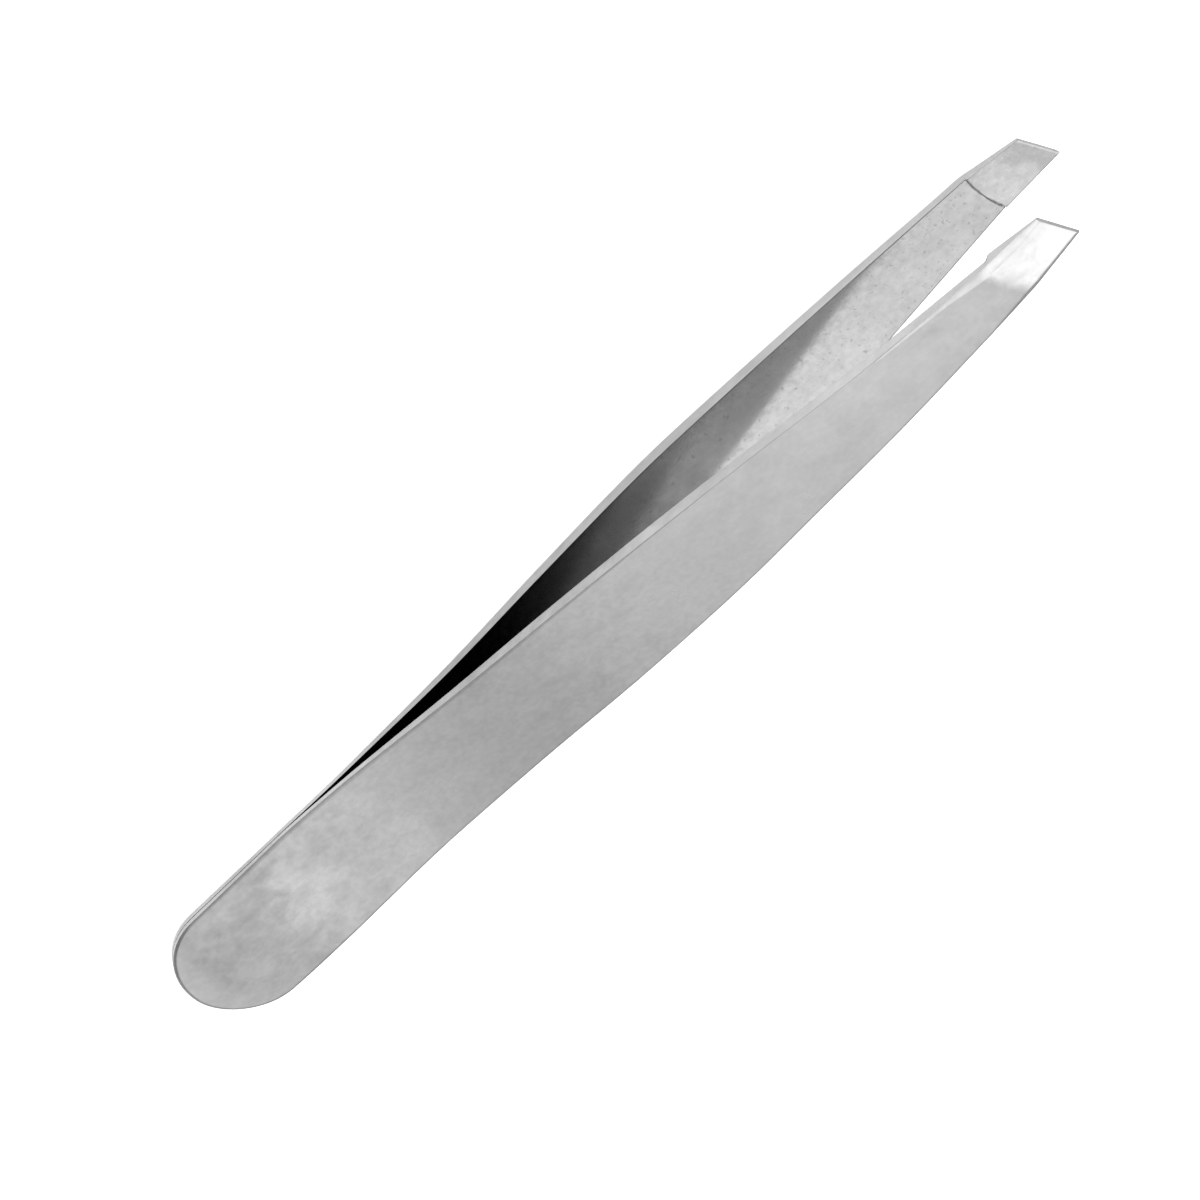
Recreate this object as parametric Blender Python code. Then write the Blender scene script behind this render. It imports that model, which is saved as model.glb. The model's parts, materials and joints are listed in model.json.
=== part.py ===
"""Slant tweezers: two sprung stainless steel arms, spot-welded face to face at a round tail.

The arms are drawn in the tweezers' own frame. X runs from the tail to the tips, Y goes across the
width, and Z goes out of the joint plane through the upper arm. The lower arm mirrors the upper one.
A parent empty then lays the tweezers down, with the lower arm's tail edge and belly on the ground.

Each real arm is one springy blank. Rigid solids can't bend, so each arm is two solids here, a tail
and a blade, with a fine saw cut between them where the real arm flexes. The blade turns about a
hinge line across the middle of that cut.
"""

import math
from collections import namedtuple

import bmesh
import bpy
from mathutils import Vector

MM = 0.001

# Driving dimensions
LENGTH = 95.0 * MM
TAIL_RADIUS = 5.3 * MM
FLEX_X = 23.0 * MM  # the hinge line, where the springy stretch bends most
CLOSING_ANGLE = math.radians(3.75)  # each arm turns this far until the jaws meet
SLANT = math.radians(17.4)  # the tips' edge and facet lean this far from square
TIP_THICKNESS = 0.35 * MM
EDGE = 0.16 * MM  # flat broken along every long edge

# Clearances between solids that touch on the real object
JOINT_GAP = 0.3 * MM  # between the two tails' inner faces
FLEX_CUT = 0.3 * MM  # between a tail and its blade
JAW_GAP = 0.1 * MM  # between the closed jaws
WELD_GAP = 0.02 * MM  # between a weld nugget and each tail

# Laid on the ground, the lower arm touches along its tail edge and a flat on its belly.
TAIL_OUTER = 0.65 * MM  # height of the outer face above the joint plane, along the tail
TAIL_FLAT_END = 16.0 * MM
BELLY_START = 55.0 * MM
BELLY_END = 64.0 * MM
REST_SLOPE = 0.0668

# The tip: an outer facet that leans in from a soft bend, and a raised gripping face inside.
BEND_X = 88.45 * MM
BEND_OUTER = 5.87 * MM
SHEAR_START = 80.0 * MM  # from here to the bend, the sections turn from square to slanted
JAW_RAMP_START = 88.3 * MM
JAW_START = 89.5 * MM
TIP_HALF_WIDTH = 1.7 * MM
TIP_X = LENGTH - TIP_HALF_WIDTH * math.tan(SLANT)  # where the slanted edge crosses the middle

# Weld nuggets between the tails
WELD_RADIUS = 1.6 * MM
WELD_SIDES = 24
WELD_PLACES = {"rear_spot_weld": 6.0 * MM, "front_spot_weld": 12.5 * MM}

TAIL_STEPS = 7  # facets round each quarter of the tail
TAIL_FIRST_ANGLE = math.radians(12)  # the tail ends in a narrow flat this far round

Station = namedtuple("Station", "x half_width outer thickness")


def belly(x):
    """Outer height on the straight line from the tail edge that lies on the ground."""
    return TAIL_OUTER + REST_SLOPE * x


STATIONS = (
    Station(0.0, TAIL_RADIUS, TAIL_OUTER, 0.50 * MM),
    Station(TAIL_FLAT_END, 5.22 * MM, TAIL_OUTER, 0.50 * MM),
    Station(24.0 * MM, 4.98 * MM, 1.08 * MM, 0.72 * MM),
    Station(34.0 * MM, 4.75 * MM, 2.08 * MM, 1.00 * MM),
    Station(44.0 * MM, 4.69 * MM, 3.20 * MM, 1.20 * MM),
    Station(BELLY_START, 4.39 * MM, belly(BELLY_START), 1.27 * MM),
    Station(BELLY_END, 3.85 * MM, belly(BELLY_END), 1.22 * MM),
    Station(75.0 * MM, 3.08 * MM, 5.56 * MM, 1.07 * MM),
    Station(BEND_X, 2.15 * MM, BEND_OUTER, 0.86 * MM),
)

# Places of the sections between the tail flat and the bend. None lies between the belly's two
# ends, so that the belly is one flat facet.
TAIL_SECTIONS = (TAIL_FLAT_END, 18.3 * MM, 20.6 * MM, FLEX_X - FLEX_CUT / 2)
BLADE_SECTIONS = (
    [FLEX_X + FLEX_CUT / 2]
    + [(27 + 4 * step) * MM for step in range(7)]
    + [BELLY_START, BELLY_END]
    + [(69.5 + 5.25 * step) * MM for step in range(3)]
    + [84.5 * MM]
)


def station_value(field, x):
    """A station value at x, on a smooth cubic through the stations."""
    xs = [station.x for station in STATIONS]
    values = [getattr(station, field) for station in STATIONS]
    last = len(xs) - 1
    span = max(index for index in range(last) if xs[index] <= x or index == 0)

    def slope(index):
        before, after = max(index - 1, 0), min(index + 1, last)
        return (values[after] - values[before]) / (xs[after] - xs[before])

    length = xs[span + 1] - xs[span]
    t = (x - xs[span]) / length
    start, end = values[span], values[span + 1]
    start_slope, end_slope = slope(span) * length, slope(span + 1) * length
    if xs[span] < TAIL_FLAT_END:
        start_slope = end_slope = end - start  # straight along the tail
    elif xs[span] == TAIL_FLAT_END:
        start_slope = 0.0  # the arm leaves the tail flat without a kink
    return (
        (1 + 2 * t) * (1 - t) ** 2 * start
        + t * (1 - t) ** 2 * start_slope
        + t * t * (3 - 2 * t) * end
        - t * t * (1 - t) * end_slope
    )


def hinge_height():
    """Height of the hinge line: the middle of the arm's thickness at the flex cut."""
    return station_value("outer", FLEX_X) - station_value("thickness", FLEX_X) / 2


def jaw_height(x):
    """Height of the gripping face, a plane that lies along the joint plane when the jaws close."""
    lever = (JAW_GAP / 2 - hinge_height()) / math.cos(CLOSING_ANGLE)
    return hinge_height() + lever + math.tan(CLOSING_ANGLE) * (x - FLEX_X)


def facet_height(x):
    """Height of the outer facet along the arm's middle, from the bend down to the tip."""
    tip_outer = jaw_height(TIP_X) + TIP_THICKNESS
    return BEND_OUTER + (tip_outer - BEND_OUTER) * (x - BEND_X) / (TIP_X - BEND_X)


def facet_half_width(x):
    """Half width of the facet, which narrows evenly to the tip."""
    bend = STATIONS[-1]
    return bend.half_width + (TIP_HALF_WIDTH - bend.half_width) * (x - BEND_X) / (TIP_X - BEND_X)


def section(x_outer, x_inner, half_width, outer, inner, shear_outer=0.0, shear_inner=0.0):
    """Eight points round the arm, anticlockwise seen from the tip. inner is a height or a function."""
    inner_at = inner if callable(inner) else lambda x: inner
    edge = min(EDGE, 0.3 * (outer - inner_at(x_inner)))

    def outer_point(y, drop):
        return Vector((x_outer - shear_outer * math.tan(SLANT) * y, y, outer - drop))

    def inner_point(y, rise):
        x = x_inner - shear_inner * math.tan(SLANT) * y
        return Vector((x, y, inner_at(x) + rise))

    inset = half_width - edge
    return [
        outer_point(inset, 0.0),
        outer_point(-inset, 0.0),
        outer_point(-half_width, edge),
        inner_point(-half_width, edge),
        inner_point(-inset, 0.0),
        inner_point(inset, 0.0),
        inner_point(half_width, edge),
        outer_point(half_width, edge),
    ]


def plain_section(x, half_width=None, trim=0.0):
    """A section of the sprung stretch. trim takes a little off the inner and outer face."""
    outer = station_value("outer", x)
    inner = outer - station_value("thickness", x)
    width = station_value("half_width", x) if half_width is None else half_width
    shear = min(max((x - SHEAR_START) / (BEND_X - SHEAR_START), 0.0), 1.0)
    return section(x, x, width, outer - trim, inner + trim, shear_outer=shear)


def tail_sections():
    """The round tail with its broken end edge, then the flat, up to the flex cut."""
    first_x = TAIL_RADIUS * (1 - math.cos(TAIL_FIRST_ANGLE))
    sections = [plain_section(0.0, TAIL_RADIUS * math.sin(TAIL_FIRST_ANGLE) - EDGE, trim=EDGE)]
    for step in range(TAIL_STEPS + 1):
        share = step / TAIL_STEPS
        angle = TAIL_FIRST_ANGLE + share * (math.pi / 2 - TAIL_FIRST_ANGLE)
        x = EDGE + TAIL_RADIUS * (1 - math.cos(angle)) - first_x
        sections.append(plain_section(x, TAIL_RADIUS * math.sin(angle)))
    return sections + [plain_section(x) for x in TAIL_SECTIONS]


def blade_sections():
    """The thick blade from the flex cut, then the bent and slanted tip with its gripping face."""
    sections = [plain_section(x) for x in BLADE_SECTIONS]
    bend = STATIONS[-1]
    ramp_foot = station_value("outer", JAW_RAMP_START) - station_value("thickness", JAW_RAMP_START)
    sections.append(section(BEND_X, JAW_RAMP_START, bend.half_width, BEND_OUTER, ramp_foot, 1.0))
    jaw_outer_x = JAW_START + (BEND_X - JAW_RAMP_START)
    sections.append(
        section(
            jaw_outer_x, JAW_START, facet_half_width(jaw_outer_x), facet_height(jaw_outer_x), jaw_height, 1.0
        )
    )
    sections.append(section(TIP_X, TIP_X, TIP_HALF_WIDTH, facet_height(TIP_X), jaw_height, 1.0, 1.0))
    return sections


def lofted_mesh(name, sections, mirrored):
    """A closed skin through the sections. mirrored makes the lower arm's half."""
    bm = bmesh.new()
    flip = -1.0 if mirrored else 1.0
    rings = [[bm.verts.new((p.x, p.y, flip * p.z)) for p in points] for points in sections]
    count = len(sections[0])
    for ring, following in zip(rings, rings[1:]):
        for index in range(count):
            after = (index + 1) % count
            bm.faces.new((ring[index], ring[after], following[after], following[index]))
    bm.faces.new(rings[0])
    bm.faces.new(rings[-1])
    bmesh.ops.recalc_face_normals(bm, faces=bm.faces)
    mesh = bpy.data.meshes.new(name)
    bm.to_mesh(mesh)
    bm.free()
    return mesh


def disc_mesh(name, radius, height, sides):
    """A short solid cylinder about Z."""
    bm = bmesh.new()
    bmesh.ops.create_cone(
        bm, cap_ends=True, segments=sides, radius1=radius, radius2=radius, depth=height
    )
    mesh = bpy.data.meshes.new(name)
    bm.to_mesh(mesh)
    bm.free()
    mesh.shade_smooth()
    mesh.set_sharp_from_angle(angle=math.radians(40))
    return mesh


def steel(name, colour, roughness):
    """A stainless steel finish."""
    material = bpy.data.materials.new(name)
    material.use_nodes = True
    shader = material.node_tree.nodes["Principled BSDF"]
    shader.inputs["Base Color"].default_value = (*colour, 1.0)
    shader.inputs["Roughness"].default_value = roughness
    shader.inputs["Metallic"].default_value = 1.0
    return material


def add_empty(name, parent, location):
    """An empty that carries other objects."""
    empty = bpy.data.objects.new(name, None)
    bpy.context.scene.collection.objects.link(empty)
    empty.parent = parent
    empty.location = location
    return empty


def add_solid(name, mesh, material, parent, location=(0.0, 0.0, 0.0)):
    """One sub-part, with its own material."""
    mesh.materials.append(material)
    solid = bpy.data.objects.new(name, mesh)
    bpy.context.scene.collection.objects.link(solid)
    solid.parent = parent
    solid.location = location
    return solid


def add_arm(side, mirrored, laid_down):
    """One arm: a tail fixed to the joint, and a blade whose origin is on its hinge line."""
    satin = steel(f"{side}_arm_satin_steel", (0.62, 0.62, 0.63), 0.38)
    ground = steel(f"{side}_arm_ground_steel", (0.66, 0.66, 0.67), 0.30)
    tail_mesh = lofted_mesh(f"{side}_arm_tail", tail_sections(), mirrored)
    tail = add_solid(f"{side}_arm_tail", tail_mesh, satin, laid_down)
    height = -hinge_height() if mirrored else hinge_height()
    hinge = Vector((FLEX_X, 0.0, height))
    flex_line = add_empty(f"{side}_arm_flex_line", laid_down, hinge)
    blade_mesh = lofted_mesh(f"{side}_arm_blade", blade_sections(), mirrored)
    blade = add_solid(f"{side}_arm_blade", blade_mesh, ground, flex_line, -hinge)
    return [tail, blade]


def add_welds(laid_down):
    """The two nuggets that hold the tails together."""
    height = JOINT_GAP - 2 * WELD_GAP
    for name, x in WELD_PLACES.items():
        nugget = disc_mesh(name, WELD_RADIUS, height, WELD_SIDES)
        finish = steel(f"{name}_steel", (0.45, 0.44, 0.43), 0.55)
        add_solid(name, nugget, finish, laid_down, (x, 0.0, 0.0))


def lay_down(laid_down, solids):
    """Tips the tweezers back onto the belly, then centres them over the origin on the ground."""
    laid_down.rotation_euler = (0.0, -math.atan(REST_SLOPE), 0.0)
    bpy.context.view_layer.update()
    corners = [
        solid.matrix_world @ vertex.co for solid in solids for vertex in solid.data.vertices
    ]
    middle = (min(c.x for c in corners) + max(c.x for c in corners)) / 2
    laid_down.location = (-middle, 0.0, -min(c.z for c in corners))


def main():
    for old in list(bpy.data.objects):
        bpy.data.objects.remove(old)
    laid_down = add_empty("laid_down", None, (0.0, 0.0, 0.0))
    solids = add_arm("upper", False, laid_down) + add_arm("lower", True, laid_down)
    add_welds(laid_down)
    lay_down(laid_down, solids)


main()
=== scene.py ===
"""Slant tweezers, as they look: each sprung arm is one finely modelled stainless blank, which bends
where the CAD splits it into a tail and a blade.

Everything is drawn in the tweezers' own frame, in millimetres: X from the tail to the tips, Y across
the width, Z out of the joint plane through the upper arm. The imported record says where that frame
lies, and the lower arm mirrors the upper one.
"""

import json
import math
from collections import namedtuple

import bmesh
import bpy
from mathutils import Matrix, Vector

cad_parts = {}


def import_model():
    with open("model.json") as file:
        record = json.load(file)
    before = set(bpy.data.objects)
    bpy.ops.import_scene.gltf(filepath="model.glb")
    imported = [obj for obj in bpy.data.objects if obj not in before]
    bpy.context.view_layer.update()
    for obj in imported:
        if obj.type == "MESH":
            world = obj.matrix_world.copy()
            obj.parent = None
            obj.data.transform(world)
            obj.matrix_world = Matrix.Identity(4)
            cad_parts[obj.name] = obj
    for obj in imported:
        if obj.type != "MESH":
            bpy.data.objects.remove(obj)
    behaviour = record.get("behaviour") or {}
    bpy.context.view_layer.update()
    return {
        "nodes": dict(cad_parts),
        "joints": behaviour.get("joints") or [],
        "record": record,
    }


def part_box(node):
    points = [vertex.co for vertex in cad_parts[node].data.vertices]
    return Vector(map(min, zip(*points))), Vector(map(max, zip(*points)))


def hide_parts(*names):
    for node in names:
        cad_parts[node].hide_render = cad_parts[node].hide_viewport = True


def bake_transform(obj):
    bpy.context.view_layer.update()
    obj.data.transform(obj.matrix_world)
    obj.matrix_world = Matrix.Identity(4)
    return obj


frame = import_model()

MM = 0.001

# ---------------------------------------------------------------- the tweezers' frame
joints = {joint["name"]: joint for joint in frame["joints"]}
mounts = {mount["name"]: mount for mount in frame["record"]["mounts"]}
FLEX_X = 23.0  # the hinges' distance from the tail's end, in mm
hinge_line = (
    Vector(joints["upper_arm_squeeze"]["pos_m"]) + Vector(joints["lower_arm_squeeze"]["pos_m"])
) / 2
OUT = Vector(mounts["tail_flat"]["axis"]).normalized()
ACROSS = Vector((0.0, 1.0, 0.0))
ALONG = ACROSS.cross(OUT)
ORIGIN = hinge_line - ALONG * FLEX_X * MM


def world(x, y, z):
    """A point of the tweezers' own frame, in mm, as a point of the scene."""
    return ORIGIN + (ALONG * x + ACROSS * y + OUT * z) * MM


def in_scene(direction):
    """A direction of the tweezers' own frame as one of the scene."""
    return (ALONG * direction.x + ACROSS * direction.y + OUT * direction.z).normalized()


# ---------------------------------------------------------------- the arm's shape, in mm
TAIL_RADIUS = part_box("upper_arm_tail")[1].y / MM
TAIL_CENTRE_X = TAIL_RADIUS + 0.10
TAIL_FLAT_END = 12.0  # the tails lie flat against each other up to here
TAIL_OUTER = 0.63
TAIL_NARROWING = 0.16  # the round end is ground a little narrower on the -Y side
TAIL_NARROWING_LENGTH = 3.0
CROWN = 0.025  # the outer face falls this much towards its edges
BEVEL_START = 84.0  # the bevel grows to its full size from here to the bend
BEND_X = 88.9
BEND_SLOPE = 0.012  # how steeply the outer face still rises as it reaches the bend
BEND_SOFTNESS = 0.8  # half the length over which the tip leans in
RIDGE_HEIGHT = 0.02  # bending throws up a faint ridge
RIDGE_LENGTH = 0.8
TIP_X = 94.46
TIP_HALF_WIDTH = 1.69
TIP_MIDDLE = 0.05
TIP_OUTER = 5.05
TIP_LEAN = 0.05  # the tip's inner edge reaches this much further than its outer edge
LEAN_START = TIP_X - 2.0
TIP_EDGE_ROUND = 0.03
STEP_X = 88.48  # the middle of the arc where the raised gripping face starts
STEP_ARC = 0.06  # how much further on the arc lies at its sides, per mm squared of width
CLOSING_ANGLE = math.radians(joints["upper_arm_squeeze"]["range_deg"][1])
HINGE_HEIGHT = (Vector(joints["upper_arm_squeeze"]["pos_m"]) - hinge_line).dot(OUT) / MM
JAW_CLOSED_HEIGHT = 0.05  # how far each closed jaw's front edge stays off the joint plane

# the cut at the tip is slanted, and the cross sections before it turn to the same slant
SLANT = math.tan(math.radians(17.4))
OUTER_SLANT_START, OUTER_SLANT_END = 80.0, BEND_X - 1.0
INNER_SLANT_START = STEP_X + 1.5

# distance from the tail, half width, outer height, thickness, and how far the middle strays to +Y
STATIONS = (
    (0.0, TAIL_RADIUS, TAIL_OUTER, 0.60, 0.00),
    (TAIL_FLAT_END, TAIL_RADIUS - 0.02, TAIL_OUTER, 0.60, 0.01),
    (16.0, 5.24, 0.66, 0.62, 0.05),
    (20.0, 5.12, 0.80, 0.65, 0.06),
    (24.0, 5.00, 1.07, 0.72, 0.06),
    (34.0, 4.74, 2.06, 1.00, -0.03),
    (44.0, 4.68, 3.18, 1.20, -0.03),
    (55.0, 4.38, 4.295, 1.27, 0.05),
    (64.0, 3.84, 4.895, 1.22, 0.06),
    (75.0, 3.07, 5.54, 1.07, 0.00),
    (BEND_X, 2.10, 5.87, 0.88, 0.12),
)
HALF_WIDTH, OUTER, THICKNESS, MIDDLE = 1, 2, 3, 4

# What hand grinding leaves different between the two tips. relief is how much further the gripping
# face's back end stays off the joint plane than its front edge, when closed. step_length is the run
# over which that face rises. bevel scales the bevel on the tip's +Y edge.
Tip = namedtuple("Tip", "relief step_length bevel")
UPPER_TIP = Tip(relief=0.12, step_length=0.38, bevel=1.8)
LOWER_TIP = Tip(relief=0.48, step_length=0.17, bevel=0.5)

# The outer edges are arcs. Each row has the distance from the tail, the radius, and the tilts in
# degrees at which the arc leaves the outer face and meets the side wall. The +Y edge is a softened
# chamfer, widest near the tail, and a shallow ground bevel at the tip. The -Y edge is deburred along
# the arm and lightly bevelled at the tip.
NEAR_EDGE = (
    (0.0, 0.90, 33.0, 44.0),
    (14.0, 1.80, 33.0, 44.0),
    (22.0, 2.00, 33.0, 44.0),
    (30.0, 1.60, 33.0, 45.0),
    (45.0, 1.10, 33.0, 46.0),
    (58.0, 0.45, 33.0, 46.0),
    (76.0, 0.35, 30.0, 44.0),
    (84.0, 0.90, 18.0, 34.0),
    (88.0, 1.30, 18.0, 34.0),
    (92.0, 1.30, 18.0, 34.0),
    (94.0, 0.60, 18.0, 36.0),
    (95.0, 0.30, 18.0, 36.0),
)
FAR_EDGE = (
    (0.0, 0.28, 10.0, 40.0),
    (84.0, 0.24, 8.0, 34.0),
    (89.0, 0.95, 8.0, 32.0),
    (95.0, 0.70, 8.0, 32.0),
)
RADIUS, FIRST_TILT, LAST_TILT = 1, 2, 3
INNER_RADIUS = 0.015


def station_value(field, x):
    """A station value at x, on a smooth cubic through the stations, straight along the tail."""
    xs = [station[0] for station in STATIONS]
    values = [station[field] for station in STATIONS]
    last = len(xs) - 1
    span = min(max(index for index in range(last + 1) if xs[index] <= max(x, 0.0)), last - 1)

    def slope(index):
        before, after = max(index - 1, 0), min(index + 1, last)
        return (values[after] - values[before]) / (xs[after] - xs[before])

    length = xs[span + 1] - xs[span]
    t = (x - xs[span]) / length
    start, end = values[span], values[span + 1]
    if x <= TAIL_FLAT_END:
        return start + (end - start) * max(t, 0.0)
    end_slope = slope(span + 1) * length
    start_slope = 0.0 if span == 1 else slope(span) * length
    if t > 1.0:
        return end + (t - 1.0) * end_slope
    return (
        (1 + 2 * t) * (1 - t) ** 2 * start
        + t * (1 - t) ** 2 * start_slope
        + t * t * (3 - 2 * t) * end
        - t * t * (1 - t) * end_slope
    )


def ramp(rows, field, x):
    """A value that runs straight from row to row."""
    for before, after in zip(rows, rows[1:]):
        if x <= after[0]:
            share = (x - before[0]) / (after[0] - before[0])
            return before[field] + (after[field] - before[field]) * max(share, 0.0)
    return rows[-1][field]


def smoothstep(x, start, end):
    """Rises smoothly from 0 at start to 1 at end."""
    t = min(max((x - start) / (end - start), 0.0), 1.0)
    return t * t * (3 - 2 * t)


def outer_edge(x, nearness, bevel):
    """The outer edge's arc: radius, first tilt and last tilt. nearness is 1 on the +Y side and 0 on
    the -Y side, and changes smoothly round the tail's end. bevel scales the bevel at the tip."""

    def mixed(field):
        return ramp(FAR_EDGE, field, x) * (1 - nearness) + ramp(NEAR_EDGE, field, x) * nearness

    ground = 1 + (bevel - 1) * nearness * smoothstep(x, BEVEL_START, BEND_X)
    return mixed(RADIUS) * ground, math.radians(mixed(FIRST_TILT)), math.radians(mixed(LAST_TILT))


def along_tip(field, tip_value, x):
    """A station value that runs evenly to another value along the tip."""
    if x <= BEND_X:
        return station_value(field, x)
    bend_value = STATIONS[-1][field]
    return bend_value + (tip_value - bend_value) * (x - BEND_X) / (TIP_X - BEND_X)


def outer_height(x):
    """The outer face's height, with the soft bend into the tip's facet."""
    facet_slope = (TIP_OUTER - STATIONS[-1][OUTER]) / (TIP_X - BEND_X)
    beyond = x - BEND_X
    if beyond < -BEND_SOFTNESS:
        bent = 0.0
    elif beyond < BEND_SOFTNESS:
        bent = (beyond + BEND_SOFTNESS) ** 2 / (4 * BEND_SOFTNESS)
    else:
        bent = beyond
    before_bend = station_value(OUTER, x) if x <= BEND_X else STATIONS[-1][OUTER] + BEND_SLOPE * beyond
    ridge = RIDGE_HEIGHT * math.exp(-((beyond / RIDGE_LENGTH) ** 2))
    return before_bend + (facet_slope - BEND_SLOPE) * bent + ridge


def jaw_height(x, relief):
    """The gripping face's height: a plane whose front edge comes to JAW_CLOSED_HEIGHT off the joint
    plane when the jaws close, with its back end held further off by relief."""
    lever = (JAW_CLOSED_HEIGHT - HINGE_HEIGHT) / math.cos(CLOSING_ANGLE)
    back = relief * (TIP_X - x) / (TIP_X - STEP_X)
    return HINGE_HEIGHT + lever + math.tan(CLOSING_ANGLE) * (x - FLEX_X) + back


def step_start(y):
    """Where the gripping face starts to rise, on an arc whose middle lies nearest the tail."""
    return STEP_X + STEP_ARC * y * y


def inner_height(x, y, tip):
    """The inner face's height, stepping down to the gripping face near the tip."""
    blade = station_value(OUTER, x) - station_value(THICKNESS, x)
    share = smoothstep(x, step_start(y), step_start(y) + tip.step_length)
    return blade + (jaw_height(x, tip.relief) - blade) * share


# ---------------------------------------------------------------- the arm's mesh
FACE_SHARES = (1.0, 0.8, 0.6, 0.4, 0.2)  # rows across half a face, from the middle to the edge
EDGE_SUPPORTS = (0.30, 0.10)  # mm beyond the rounding, so that the flat stays flat
OUTER_ROUND_STEPS = 8
INNER_ROUND_STEPS = 2
WALL_STEPS = 3
TAIL_STEPS = 28  # columns round each quarter of the tail
CAP_STEPS = 2  # columns round the tip's edge

# the gaps between cross sections, each from that distance from the tail onwards: closer in the tip,
# and closest across the gripping face's step
SPACINGS = (
    (0.0, 0.60),
    (30.0, 0.80),
    (BEND_X - 2.4, 0.20),
    (STEP_X - 0.5, 0.06),
    (STEP_X + 1.1, 0.20),
)
LAST_GAP = 0.3  # the cross sections end once they are this close to the tip's edge
MERGE_DISTANCE = 0.002
SHARP_ANGLE = math.radians(28)

OUTER_ROWS = len(FACE_SHARES) + len(EDGE_SUPPORTS) + OUTER_ROUND_STEPS
FINISHES = ("outer_face", "side_wall", "inner_face", "gripping_face", "tip_edge")


def lengthwise_places():
    """Places of the cross sections, from the tail's round end to the tip."""
    places = [TAIL_CENTRE_X]
    while places[-1] < TIP_X - LAST_GAP:
        here = places[-1]
        spacing = [gap for start, gap in SPACINGS if start < here][-1]
        places.append(here + spacing)
    return places


def column(tip, x, side, turned=None, shrink=0.0, ahead=0.0):
    """The skin's points across one half of the arm: from the middle of the outer face, round the
    edge, to the middle of the inner face.

    side is +1 or -1. turned is the angle round the tail's end. shrink draws the section in evenly and
    ahead moves it along the arm, for the tip's rounded edge.
    """
    width = along_tip(HALF_WIDTH, TIP_HALF_WIDTH, x) - shrink
    middle = along_tip(MIDDLE, TIP_MIDDLE, x)
    # 1 on the +Y side, a quarter at the tail's end and 0 on the -Y side
    nearness = (0.5 + 0.5 * side * (1.0 if turned is None else math.sin(turned))) ** 2
    radius, first, last = outer_edge(x, nearness, tip.bevel)
    round_out = radius * (math.sin(last) - math.sin(first))
    outer_shear = SLANT * smoothstep(x, OUTER_SLANT_START, OUTER_SLANT_END)
    inner_shear = SLANT * smoothstep(x, INNER_SLANT_START, TIP_X)
    lean = TIP_LEAN * smoothstep(x, LEAN_START, TIP_X)

    def place(inset, shear):
        reach = width - inset
        if turned is None:
            y = side * reach
            px = x + ahead - shear * y
        else:
            y = side * reach * math.sin(turned)
            px = TAIL_CENTRE_X - reach * math.cos(turned)
        if side < 0:
            y *= 1 - TAIL_NARROWING * math.exp(-px / TAIL_NARROWING_LENGTH)
        return px, y + middle

    def outer_point(inset, drop):
        px, py = place(inset, outer_shear)
        crown = CROWN * (1 - inset / width) ** 2
        return Vector((px - lean, py, outer_height(x) - shrink - crown - drop))

    def inner_point(inset, rise):
        px, py = place(inset, inner_shear)
        return Vector((px, py, inner_height(px, py, tip) + shrink + rise))

    def flat_insets(edge):
        """Insets of the rows across a flat half face, from the middle to close beside the edge."""
        supports = [edge + gap for gap in EDGE_SUPPORTS]
        return [supports[0] + share * (width - supports[0]) for share in FACE_SHARES] + supports

    points = [outer_point(inset, 0.0) for inset in flat_insets(round_out)]
    for step in range(OUTER_ROUND_STEPS + 1):
        tilt = first + (last - first) * step / OUTER_ROUND_STEPS
        inset = radius * (math.sin(last) - math.sin(tilt))
        points.append(outer_point(inset, radius * (math.cos(first) - math.cos(tilt))))
    top, bottom = points[-1], inner_point(0.0, INNER_RADIUS)
    points += [top.lerp(bottom, step / WALL_STEPS) for step in range(1, WALL_STEPS)]
    for step in range(INNER_ROUND_STEPS, -1, -1):
        angle = math.pi / 2 * step / INNER_ROUND_STEPS
        inset = INNER_RADIUS * (1 - math.sin(angle))
        points.append(inner_point(inset, INNER_RADIUS * (1 - math.cos(angle))))
    return points + [inner_point(inset, 0.0) for inset in reversed(flat_insets(INNER_RADIUS))]


def arm_columns(tip):
    """Columns round the arm's outline: tip to tail on the +Y side, round the tail, and back."""

    def side_columns(side):
        columns = [column(tip, x, side) for x in lengthwise_places()]
        for step in range(CAP_STEPS + 1):
            angle = math.pi / 2 * step / CAP_STEPS
            shrink = TIP_EDGE_ROUND * (1 - math.cos(angle))
            ahead = TIP_EDGE_ROUND * (math.sin(angle) - 1)
            columns.append(column(tip, TIP_X, side, shrink=shrink, ahead=ahead))
        return columns

    round_tail = []
    for step in range(1, 2 * TAIL_STEPS):
        angle = math.pi / 2 * (1 - step / TAIL_STEPS)
        side = 1.0 if angle >= 0 else -1.0
        round_tail.append(column(tip, TAIL_CENTRE_X, side, turned=abs(angle)))
    return side_columns(1.0)[::-1] + round_tail + side_columns(-1.0)


def finish_of(row, middle):
    """Which of FINISHES a skin face has, from its row across the arm and its middle."""
    if row < OUTER_ROWS:
        return "outer_face"
    if row < OUTER_ROWS + WALL_STEPS:
        return "side_wall"
    return "gripping_face" if middle.x > step_start(middle.y) else "inner_face"


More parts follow.
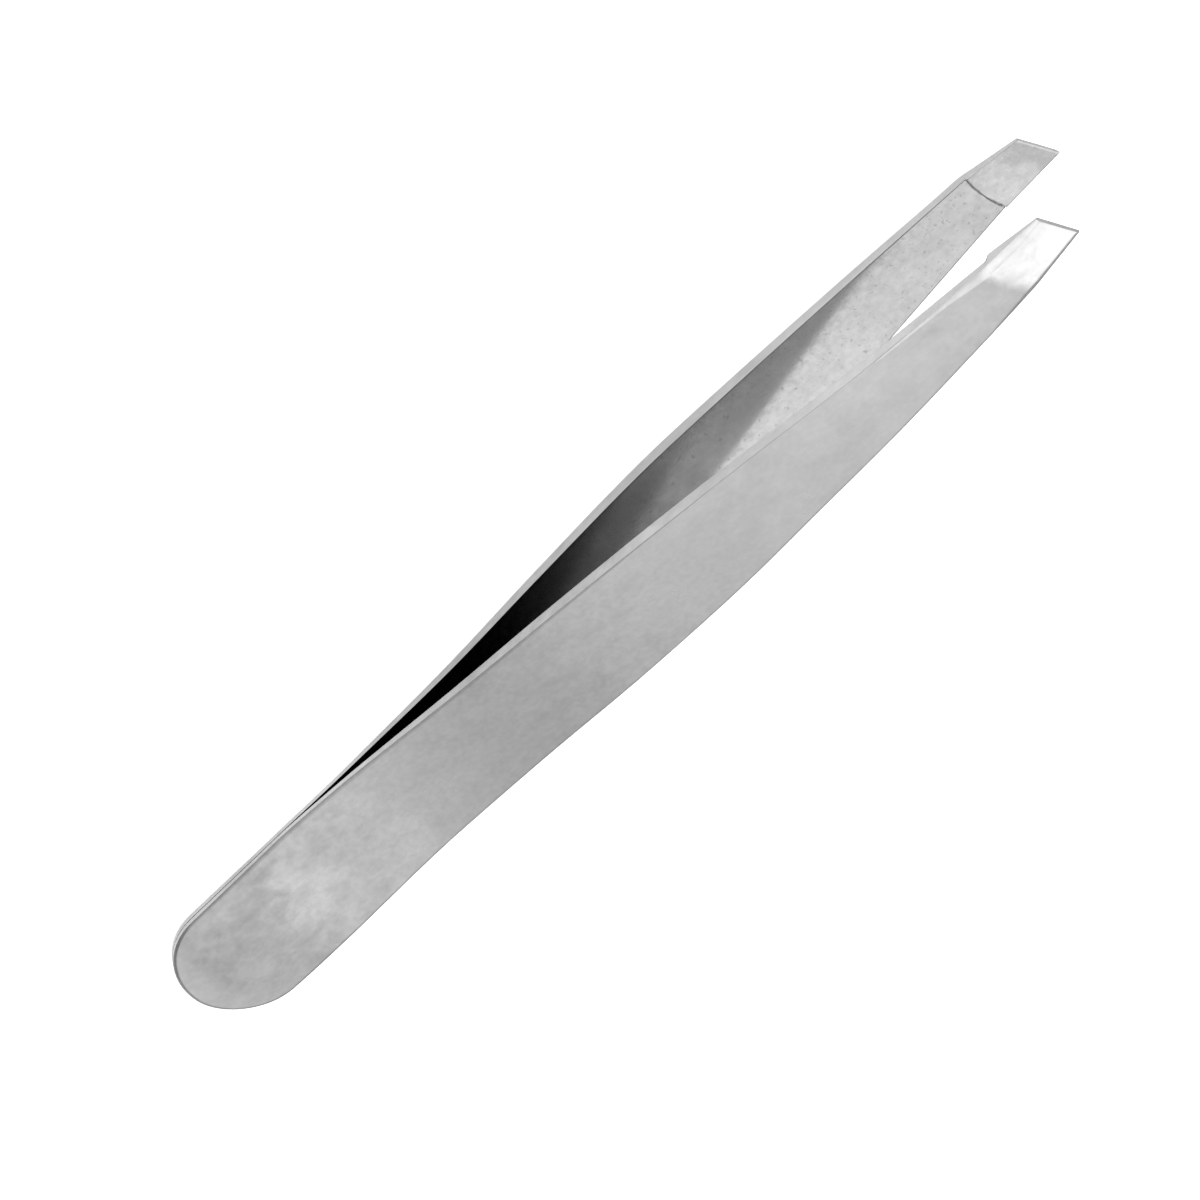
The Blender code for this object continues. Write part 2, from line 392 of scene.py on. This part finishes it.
def arm_mesh(name, mirrored, tip):
    """The closed skin of one arm. Its places in the tweezers' frame stay with it as an attribute."""
    columns = arm_columns(tip)
    deep = len(columns[0])
    points = [point for one_column in columns for point in one_column]
    faces, finishes = [], []
    for left in range(len(columns) - 1):
        for row in range(deep - 1):
            corners = [left * deep + row, left * deep + row + 1]
            corners += [corners[1] + deep, corners[0] + deep]
            middle = sum((points[index] for index in corners), Vector()) / 4
            on_cap = left < CAP_STEPS or left >= len(columns) - 1 - CAP_STEPS
            faces.append(corners)
            finishes.append("tip_edge" if on_cap else finish_of(row, middle))
    for end in (0, (len(columns) - 1) * deep):
        for row in range(deep // 2 - 1):
            faces.append([end + row, end + row + 1, end + deep - 2 - row, end + deep - 1 - row])
            finishes.append("tip_edge")
    if mirrored:
        points = [Vector((point.x, point.y, -point.z)) for point in points]
    mesh = bpy.data.meshes.new(name)
    mesh.from_pydata([world(*point) for point in points], [], faces)
    mesh.polygons.foreach_set("material_index", [FINISHES.index(finish) for finish in finishes])
    rest = mesh.attributes.new("rest_mm", "FLOAT_VECTOR", "POINT")
    rest.data.foreach_set("vector", [value for point in points for value in point])
    return mesh


def close_up(mesh):
    """Joins the two halves along the arm's middle and turns every face outwards."""
    bm = bmesh.new()
    bm.from_mesh(mesh)
    bmesh.ops.remove_doubles(bm, verts=bm.verts, dist=MERGE_DISTANCE * MM)
    bmesh.ops.recalc_face_normals(bm, faces=bm.faces)
    bm.to_mesh(mesh)
    bm.free()
    mesh.shade_smooth()
    mesh.set_sharp_from_angle(angle=SHARP_ANGLE)


# ---------------------------------------------------------------- materials
class Nodes:
    """A material's node tree, with one short call for each kind of node used here."""

    def __init__(self, name):
        self.material = bpy.data.materials.new(name)
        self.material.use_nodes = True
        self.tree = self.material.node_tree
        self.shader = self.tree.nodes["Principled BSDF"]

    def add(self, kind, inputs, output=0, **settings):
        """A node of that kind, with its inputs set or linked. Returns one of its outputs."""
        node = self.tree.nodes.new(kind)
        for name, value in settings.items():
            setattr(node, name, value)
        for name, value in inputs.items():
            self.feed(node.inputs[name], value)
        return node.outputs[output]

    def feed(self, socket, value):
        """Links a node's output to the socket, or sets the socket to a value."""
        if isinstance(value, bpy.types.NodeSocket):
            self.tree.links.new(value, socket)
        else:
            socket.default_value = value

    def place(self):
        """The point's place on the unbent arm, in mm."""
        return self.add("ShaderNodeAttribute", {}, output="Vector", attribute_name="rest_mm")

    def scaled(self, vector, x, y, z, shift=0.0):
        """A place scaled along each axis and shifted, which sets a noise's grain and its pattern."""
        inputs = {"Vector": vector, "Scale": (x, y, z), "Location": (shift, shift, shift)}
        return self.add("ShaderNodeMapping", inputs)

    def noise(self, vector, detail=2.0, roughness=0.5, distortion=0.0):
        inputs = {"Vector": vector, "Scale": 1.0, "Detail": detail}
        inputs |= {"Roughness": roughness, "Distortion": distortion}
        return self.add("ShaderNodeTexNoise", inputs)

    def between(self, value, low, high, new_low, new_high, smooth=False):
        """A value that runs from new_low to new_high while the given one runs from low to high."""
        inputs = {"Value": value, "From Min": low, "From Max": high}
        inputs |= {"To Min": new_low, "To Max": new_high}
        kind = "SMOOTHSTEP" if smooth else "LINEAR"
        return self.add("ShaderNodeMapRange", inputs, interpolation_type=kind)

    def maths(self, operation, first, second):
        node = self.tree.nodes.new("ShaderNodeMath")
        node.operation = operation
        self.feed(node.inputs[0], first)
        self.feed(node.inputs[1], second)
        return node.outputs[0]

    def product(self, *values):
        result = values[0]
        for value in values[1:]:
            result = self.maths("MULTIPLY", result, value)
        return result

    def total(self, *values):
        result = values[0]
        for value in values[1:]:
            result = self.maths("ADD", result, value)
        return result

    def tinted(self, tint, value):
        """A grey value as a colour."""
        node = self.tree.nodes.new("ShaderNodeVectorMath")
        node.operation = "SCALE"
        node.inputs[0].default_value = tint
        self.feed(node.inputs["Scale"], value)
        return node.outputs[0]

    def from_tail(self, place):
        """The point's distance from the tail, in mm."""
        return self.add("ShaderNodeSeparateXYZ", {"Vector": place}, output="X")

    def along_arm(self, place, ragged, stops):
        """A tone that changes along the arm, through (x, tone) stops, with borders made ragged."""
        shift = self.product(self.maths("SUBTRACT", ragged, 0.5), RAGGEDNESS)
        x = self.total(self.from_tail(place), shift)
        ramp_node = self.tree.nodes.new("ShaderNodeValToRGB")
        self.feed(ramp_node.inputs[0], self.product(x, 1 / ARM_LENGTH))
        ramp_node.color_ramp.interpolation = "EASE"
        elements = ramp_node.color_ramp.elements
        while len(elements) < len(stops):
            elements.new(1.0)
        for element, (x_stop, tone) in zip(elements, stops):
            element.position = x_stop / ARM_LENGTH
            element.color = (tone, tone, tone, 1.0)
        return ramp_node.outputs[0]

    def finish(self, colour, roughness, height_mm):
        """Sets the metal's shader. height_mm is its fine relief."""
        inputs = {"Height": height_mm, "Distance": MM, "Strength": 1.0}
        self.feed(self.shader.inputs["Normal"], self.add("ShaderNodeBump", inputs))
        self.feed(self.shader.inputs["Base Color"], colour)
        self.feed(self.shader.inputs["Roughness"], roughness)
        self.shader.inputs["Metallic"].default_value = 1.0
        return self.material


STEEL_TINT = (1.0, 1.0, 1.0)
WELD_TINT = (0.9, 0.82, 0.72)
ARM_LENGTH = 95.0  # the span of the tones along the arm, in mm
RAGGEDNESS = 7.0  # how far the borders between an arm's tones stray, in mm
CALM_START, CALM_END, CALM = 46.0, 62.0, 0.6  # the handling marks fade towards the tips

# relief of the finishes, in mm
BRUSH_DEPTH = 0.0008
MOTTLE_DEPTH = 0.0006
GROUND_DEPTH = 0.0018
WELD_DEPTH = 0.01


def satin_face(name, roughness, cloud, tones, seed):
    """Satin stainless sheet: blotchy handling marks, a fine grain and faint lengthwise brushing.

    cloud is how strongly the marks change the tone. tones are (x, tone) stops along the arm, which also
    paint light and shade along it.
    """
    n = Nodes(name)
    place = n.place()
    clouds = n.noise(n.scaled(place, 0.13, 0.18, 0.18, seed), detail=4.0, roughness=0.6, distortion=0.5)
    patch_place = n.scaled(place, 0.50, 0.62, 0.62, seed + 3.0)
    patches = n.noise(patch_place, detail=3.0, roughness=0.6, distortion=0.4)
    mottle = n.noise(n.scaled(place, 2.0, 2.4, 2.4, seed + 6.0), detail=1.0)
    brush = n.noise(n.scaled(place, 0.10, 4.5, 4.5, seed), detail=2.0, roughness=0.6)
    blotches = n.total(
        n.between(clouds, 0.36, 0.64, -cloud, 0.7 * cloud),
        n.between(patches, 0.32, 0.68, -0.8 * cloud, 0.8 * cloud),
        n.between(mottle, 0.3, 0.7, -0.5 * cloud, 0.5 * cloud),
    )
    wear = n.between(n.from_tail(place), CALM_START, CALM_END, 1.0, CALM, smooth=True)
    shades = (
        n.total(1.0, n.product(blotches, wear)),
        n.between(brush, 0.3, 0.7, 0.988, 1.012),
        n.along_arm(place, patches, tones),
    )
    rough = n.total(
        n.between(clouds, 0.36, 0.64, 0.05, -0.03),
        n.between(patches, 0.3, 0.7, 0.03, -0.03),
        roughness,
    )
    relief = n.total(n.product(brush, BRUSH_DEPTH), n.product(mottle, MOTTLE_DEPTH))
    return n.finish(n.tinted(STEEL_TINT, n.product(*shades)), rough, relief)


def ground_face(name, roughness, fleck, tones, seed):
    """Ground and tumbled steel: mottled, with small dark flecks and a few fine transverse lines."""
    n = Nodes(name)
    place = n.place()
    clouds = n.noise(n.scaled(place, 0.25, 0.35, 0.35, seed + 5.0), detail=3.0, distortion=0.5)
    mottle = n.noise(n.scaled(place, 1.5, 1.8, 1.8, seed), detail=3.0, roughness=0.6)
    lines = n.noise(n.scaled(place, 6.0, 0.5, 0.5, seed), detail=2.0)
    flecks = n.noise(n.scaled(place, 3.0, 3.6, 3.6, seed + 9.0), detail=1.0)
    shades = (
        n.between(clouds, 0.35, 0.65, 0.95, 1.04),
        n.between(mottle, 0.3, 0.7, 0.92, 1.07),
        n.between(lines, 0.25, 0.45, 0.94, 1.0),
        n.between(flecks, 0.26, 0.36, 1 - fleck, 1.0, smooth=True),
        n.along_arm(place, clouds, tones),
    )
    rough = n.total(n.between(mottle, 0.3, 0.7, 0.04, -0.03), roughness)
    relief = n.total(n.product(mottle, GROUND_DEPTH), n.product(lines, BRUSH_DEPTH))
    return n.finish(n.tinted(STEEL_TINT, n.product(*shades)), rough, relief)


def weld_steel():
    """Fused, heat-tinted steel of the two weld nuggets."""
    n = Nodes("weld_steel")
    place = n.scaled(n.add("ShaderNodeTexCoord", {}, output="Object"), 1 / MM, 1 / MM, 1 / MM)
    ripples = n.noise(n.scaled(place, 2.0, 2.0, 2.0), detail=3.0)
    colour = n.tinted(WELD_TINT, n.between(ripples, 0.3, 0.7, 0.3, 0.5))
    rough = n.between(ripples, 0.3, 0.7, 0.4, 0.6)
    return n.finish(colour, rough, n.product(ripples, WELD_DEPTH))


# each finish's tones: (distance from the tail in mm, how much light the metal reflects). The outer
# face's, side walls', inner face's and tip edge's tones also carry painted light and shade
# painted light and shade: on top of the steel's own tone, these stops make the outer face darker and
# lighter along the arm, as its reflection of the soft light changes, brightest towards the tip's facet
OUTER_TONES_AND_PAINTED_LIGHT = (
    (0.0, 0.52), (3.0, 0.40), (9.0, 0.42), (15.0, 0.51), (24.0, 0.59), (34.0, 0.54),
    (50.0, 0.65), (60.0, 0.58), (72.0, 0.60), (82.0, 0.52), (86.5, 0.53), (92.5, 0.65),
)
# painted light and shade: the side walls are made darker and lighter along the arm, following how the
# floor's light reflects in them, darkest around 32 mm
WALL_TONES_AND_PAINTED_LIGHT = (
    (0.0, 0.44), (22.0, 0.42), (32.0, 0.35), (60.0, 0.40),
    (72.0, 0.45), (84.0, 0.44), (89.0, 0.40),
)
# painted shade: the inner faces are dark near the weld, where they lie in the shade between the arms
# and reflect it, and lighter towards the tips
INNER_TONES_AND_PAINTED_SHADE = (
    (0.0, 0.22), (36.0, 0.24), (48.0, 0.36), (58.0, 0.46), (66.0, 0.41), (88.0, 0.41),
)
JAW_TONES = ((0.0, 0.60), (91.8, 0.60), (93.6, 0.48))
# painted shade: the tip's cut edges get a low tone that paints the dark reflection they show
END_TONES_AND_PAINTED_SHADE = ((0.0, 0.30), (94.0, 0.30))

finish_materials = {
    "outer_face": satin_face("outer_face", 0.31, 0.09, OUTER_TONES_AND_PAINTED_LIGHT, seed=0.0),
    "side_wall": satin_face("side_wall", 0.38, 0.08, WALL_TONES_AND_PAINTED_LIGHT, seed=4.0),
    "inner_face": ground_face("inner_face", 0.13, 0.24, INNER_TONES_AND_PAINTED_SHADE, seed=0.0),
    "gripping_face": ground_face("gripping_face", 0.28, 0.12, JAW_TONES, seed=7.0),
    "tip_edge": ground_face("tip_edge", 0.4, 0.2, END_TONES_AND_PAINTED_SHADE, seed=2.0),
}


# ---------------------------------------------------------------- the object
def add_arm(side, mirrored, tip):
    """One arm, with its finishes."""
    mesh = arm_mesh(f"{side}_arm", mirrored, tip)
    close_up(mesh)
    for finish in FINISHES:
        mesh.materials.append(finish_materials[finish])
    arm = bpy.data.objects.new(f"{side}_arm", mesh)
    bpy.context.scene.collection.objects.link(arm)
    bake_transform(arm)
    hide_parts(f"{side}_arm_tail", f"{side}_arm_blade")


add_arm("upper", False, UPPER_TIP)
add_arm("lower", True, LOWER_TIP)

weld_material = weld_steel()
for weld in ("rear_spot_weld", "front_spot_weld"):
    frame["nodes"][weld].material_slots[0].material = weld_material

# ---------------------------------------------------------------- floor, light and camera
FLOOR_SIZE = 6.0
PAPER_GRAIN = 900.0  # fibres per metre
FLOOR_GLOW = 0.53  # the pale sheet is lit a little from below, as on a light table
SEEN_FLOOR_GLOW = 0.60  # the same, as the camera sees it


def add_floor():
    """A large sheet of pale paper."""
    mesh = bpy.data.meshes.new("floor")
    half = FLOOR_SIZE / 2
    corners = [(-half, -half, 0.0), (half, -half, 0.0), (half, half, 0.0), (-half, half, 0.0)]
    mesh.from_pydata(corners, [], [(0, 1, 2, 3)])
    floor = bpy.data.objects.new("floor", mesh)
    bpy.context.scene.collection.objects.link(floor)
    n = Nodes("pale_paper")
    place = n.add("ShaderNodeTexCoord", {}, output="Object")
    fibres = n.noise(n.scaled(place, PAPER_GRAIN, PAPER_GRAIN, PAPER_GRAIN), detail=3.0)
    n.feed(n.shader.inputs["Base Color"], n.between(fibres, 0.3, 0.7, 0.92, 0.94))
    n.shader.inputs["Roughness"].default_value = 0.9
    n.shader.inputs["Emission Color"].default_value = (1.0, 1.0, 1.0, 1.0)
    seen = n.add("ShaderNodeLightPath", {}, output="Is Camera Ray")
    glow = n.between(seen, 0.0, 1.0, FLOOR_GLOW, SEEN_FLOOR_GLOW)
    n.feed(n.shader.inputs["Emission Strength"], glow)
    mesh.materials.append(n.material)


# the middle of the soft overhead light, in the tweezers' own frame
LIGHT_FROM = Vector((0.25, 0.0, 0.968)).normalized()
DIM, BRIGHT = 0.35, 1.8
RISE = (0.45, 0.82)  # cosines of the angles from that direction between which the light rises
HOLLOW = 0.58  # the light's middle is dimmer, so that faces seen from above keep their tone
HOLLOW_EDGE = (0.87, 0.97)  # cosines between which it dims
BACKDROP = 1.0


def light_studio():
    """One broad, hollow soft light overhead, fading to a dim room. The camera sees a pale backdrop."""
    studio = bpy.data.worlds.new("studio")
    bpy.context.scene.world = studio
    studio.use_nodes = True
    nodes, links = studio.node_tree.nodes, studio.node_tree.links
    direction = nodes.new("ShaderNodeTexCoord")
    facing = nodes.new("ShaderNodeVectorMath")
    facing.operation = "DOT_PRODUCT"
    facing.inputs[1].default_value = in_scene(LIGHT_FROM)
    links.new(direction.outputs["Generated"], facing.inputs[0])

    def eased(between, low, high):
        """A strength that runs smoothly from low to high between two cosines."""
        node = nodes.new("ShaderNodeMapRange")
        node.interpolation_type = "SMOOTHSTEP"
        node.inputs["From Min"].default_value, node.inputs["From Max"].default_value = between
        node.inputs["To Min"].default_value = low
        node.inputs["To Max"].default_value = high
        links.new(facing.outputs["Value"], node.inputs["Value"])
        return node.outputs["Result"]

    light = nodes.new("ShaderNodeMath")
    light.operation = "MULTIPLY"
    links.new(eased(RISE, DIM, BRIGHT), light.inputs[0])
    links.new(eased(HOLLOW_EDGE, 1.0, HOLLOW), light.inputs[1])
    rays = nodes.new("ShaderNodeLightPath")
    seen = nodes.new("ShaderNodeMix")
    seen.inputs["B"].default_value = BACKDROP
    links.new(rays.outputs["Is Camera Ray"], seen.inputs["Factor"])
    links.new(light.outputs["Value"], seen.inputs["A"])
    links.new(seen.outputs["Result"], nodes["Background"].inputs["Strength"])
    nodes["Background"].inputs["Color"].default_value = (1.0, 1.0, 1.0, 1.0)


# the camera, in the tweezers' own frame
TOWARDS_CAMERA = Vector((0.3799, 0.5005, 0.7779))
PICTURE_UP = Vector((0.6376, 0.4676, -0.6122))
TARGET = (46.06, 0.84, 0.11)
VIEW_WIDTH = 88.95  # mm across the picture at the target
LENS = 1000.0  # long enough for a nearly parallel view
SENSOR = 36.0


def add_camera():
    back = in_scene(TOWARDS_CAMERA)
    right = in_scene(PICTURE_UP).cross(back).normalized()
    up = back.cross(right)
    camera = bpy.data.objects.new("camera", bpy.data.cameras.new("camera"))
    bpy.context.scene.collection.objects.link(camera)
    camera.data.lens = LENS
    camera.data.sensor_width = SENSOR
    distance = VIEW_WIDTH * MM * LENS / SENSOR
    camera.data.clip_start = 0.1 * distance
    camera.data.clip_end = 4 * distance
    turned = Matrix((right, up, back)).transposed().to_4x4()
    camera.matrix_world = Matrix.Translation(world(*TARGET) + back * distance) @ turned
    bpy.context.scene.camera = camera


add_floor()
light_studio()
add_camera()
bpy.context.scene.view_settings.view_transform = "Standard"

# ---------------------------------------------------------------- the scene brought up to date
bpy.context.view_layer.update()
